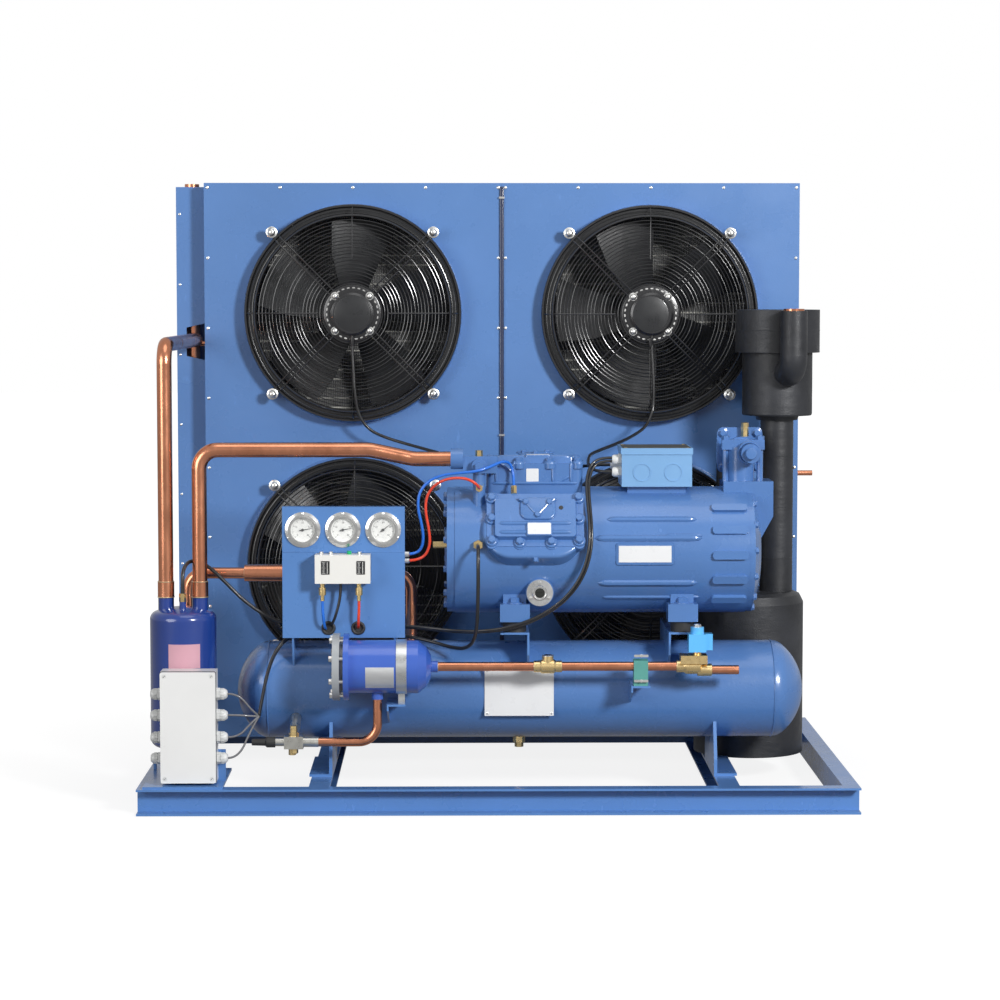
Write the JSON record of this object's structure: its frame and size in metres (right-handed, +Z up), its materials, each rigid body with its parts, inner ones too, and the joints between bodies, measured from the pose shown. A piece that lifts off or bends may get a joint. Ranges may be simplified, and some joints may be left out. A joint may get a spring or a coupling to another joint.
{
  "type": "refrigeration condensing unit",
  "caption": "Air-cooled condensing unit: a tall condenser with axial fans behind guards, a receiver and semi-hermetic compressor, oil separator and controls on a steel base.",
  "frame": {"origin": "centre of the base frame's underside", "axes": "+X to the right along the base, +Y to the rear, +Z up; the fans face -Y"},
  "size_m": [1.72, 1.1, 1.52],
  "materials": {
    "black_fan": "matte black",
    "black_hose": "satin",
    "black_steel": "satin black",
    "blue_hose": "satin",
    "brass": "satin machined brass",
    "casting_paint": "semi-gloss blue enamel on cast iron",
    "coil_aluminium": "finned, satin",
    "copper": "bright drawn copper",
    "cyan_plastic": "satin moulded",
    "foam": "matte closed-cell foam sleeve",
    "frame_paint": "semi-gloss blue enamel",
    "gauge_steel": "bright stainless",
    "gland_plastic": "satin",
    "glass": "clear",
    "green_plastic": "satin",
    "grey_paint": "satin grey",
    "iron": "machined",
    "light_blue_plastic": "satin",
    "needle_paint": "matte black",
    "panel_paint": "semi-gloss blue enamel on pressed sheet",
    "plate_metal": "satin bare plate",
    "red_hose": "satin",
    "rubber": "matte",
    "steel": "zinc plated steel",
    "switch_plastic": "satin off-white",
    "teal_plastic": "satin",
    "vessel_paint": "gloss royal blue enamel",
    "white_plastic": "satin"
  },
  "bodies": {
    "unit": {"base_cross_rails": "frame_paint", "base_rails": "frame_paint", "black_hoses": "black_hose", "blue_hoses": "blue_hose", "bolts": "steel", "brass_fittings": "brass", "cabinet_sheets": "panel_paint", "cable_glands": "gland_plastic", "compressor_end_covers": "casting_paint", "compressor_housing": "casting_paint", "compressor_rails": "frame_paint", "condenser_coil": "coil_aluminium", "condenser_headers": "copper", "cylinder_heads": "casting_paint", "discharge_pipes": "copper", "discharge_valve": "casting_paint", "drier_cover": "grey_paint", "fan_guards": "black_steel", "fan_motors": "black_steel", "fan_panel_left": "panel_paint", "fan_panel_right": "panel_paint", "filter_drier": "vessel_paint", "gauge_cases": "gauge_steel", "gauge_lenses": "glass", "gauge_panel": "frame_paint", "junction_box": "white_plastic", "junction_box_lid": "white_plastic", "line_fittings": "brass", "liquid_pipes": "copper", "motor_stator": "iron", "nameplates": "plate_metal", "oil_separator": "vessel_paint", "oil_sight_glass": "steel", "pipe_clamps": "teal_plastic", "pressure_switch": "switch_plastic", "receiver_feet": "frame_paint", "receiver_shell": "casting_paint", "receiver_valve": "brass", "red_hoses": "red_hose", "rubber_mounts": "rubber", "solenoid_coil": "cyan_plastic", "suction_accumulator": "foam", "suction_filter": "foam", "suction_inlet": "copper", "suction_pipes": "foam", "suction_valve": "casting_paint", "terminal_box": "light_blue_plastic", "wiring": "black_hose"},
    "fan_upper_left": {"fan_impeller_upper_left": "black_fan"},
    "fan_upper_right": {"fan_impeller_upper_right": "black_fan"},
    "fan_lower_left": {"fan_impeller_lower_left": "black_fan"},
    "fan_lower_right": {"fan_impeller_lower_right": "black_fan"},
    "low_needle": {"low_pressure_needle": "needle_paint"},
    "high_needle": {"high_pressure_needle": "needle_paint"},
    "oil_needle": {"oil_pressure_needle": "needle_paint"},
    "low_range": {"low_range_screw": "steel"},
    "low_difference": {"low_difference_screw": "steel"},
    "high_range": {"high_range_screw": "steel"},
    "reset": {"reset_button": "green_plastic"},
    "crank": {"crankshaft": "iron"}
  },
  "joints": [
    {"name": "fan_upper_left_spin", "type": "hinge", "parent": "unit", "child": "fan_upper_left", "pos_m": [-0.372, 0.27, 1.179], "axis": [0, 1, 0], "continuous": true},
    {"name": "fan_upper_right_spin", "type": "hinge", "parent": "unit", "child": "fan_upper_right", "pos_m": [0.406, 0.27, 1.179], "axis": [0, 1, 0], "continuous": true},
    {"name": "fan_lower_left_spin", "type": "hinge", "parent": "unit", "child": "fan_lower_left", "pos_m": [-0.372, 0.27, 0.522], "axis": [0, 1, 0], "continuous": true},
    {"name": "fan_lower_right_spin", "type": "hinge", "parent": "unit", "child": "fan_lower_right", "pos_m": [0.406, 0.27, 0.522], "axis": [0, 1, 0], "continuous": true},
    {"name": "low_needle_turn", "type": "hinge", "parent": "unit", "child": "low_needle", "pos_m": [-0.472, -0.375, 0.665], "axis": [0, 1, 0], "range_deg": [-215, 55], "stiffness_Nm_per_rad": 0.000005},
    {"name": "high_needle_turn", "type": "hinge", "parent": "unit", "child": "high_needle", "pos_m": [-0.375, -0.375, 0.665], "axis": [0, 1, 0], "range_deg": [-213, 57], "stiffness_Nm_per_rad": 0.000005},
    {"name": "oil_needle_turn", "type": "hinge", "parent": "unit", "child": "oil_needle", "pos_m": [-0.278, -0.375, 0.665], "axis": [0, 1, 0], "range_deg": [-187, 83], "stiffness_Nm_per_rad": 0.000005},
    {"name": "low_range_turn", "type": "hinge", "parent": "unit", "child": "low_range", "pos_m": [-0.426, -0.396, 0.61], "axis": [0, 0, 1], "continuous": true},
    {"name": "low_difference_turn", "type": "hinge", "parent": "unit", "child": "low_difference", "pos_m": [-0.403, -0.396, 0.61], "axis": [0, 0, 1], "continuous": true},
    {"name": "high_range_turn", "type": "hinge", "parent": "unit", "child": "high_range", "pos_m": [-0.334, -0.396, 0.61], "axis": [0, 0, 1], "continuous": true},
    {"name": "reset_press", "type": "slide", "parent": "unit", "child": "reset", "axis": [0, 0, -1], "range_m": [0, 0.003], "stiffness_N_per_m": 300, "springref_m": -0.001},
    {"name": "crank_spin", "type": "hinge", "parent": "unit", "child": "crank", "pos_m": [0.2, -0.245, 0.605], "axis": [1, 0, 0], "continuous": true}
  ]
}
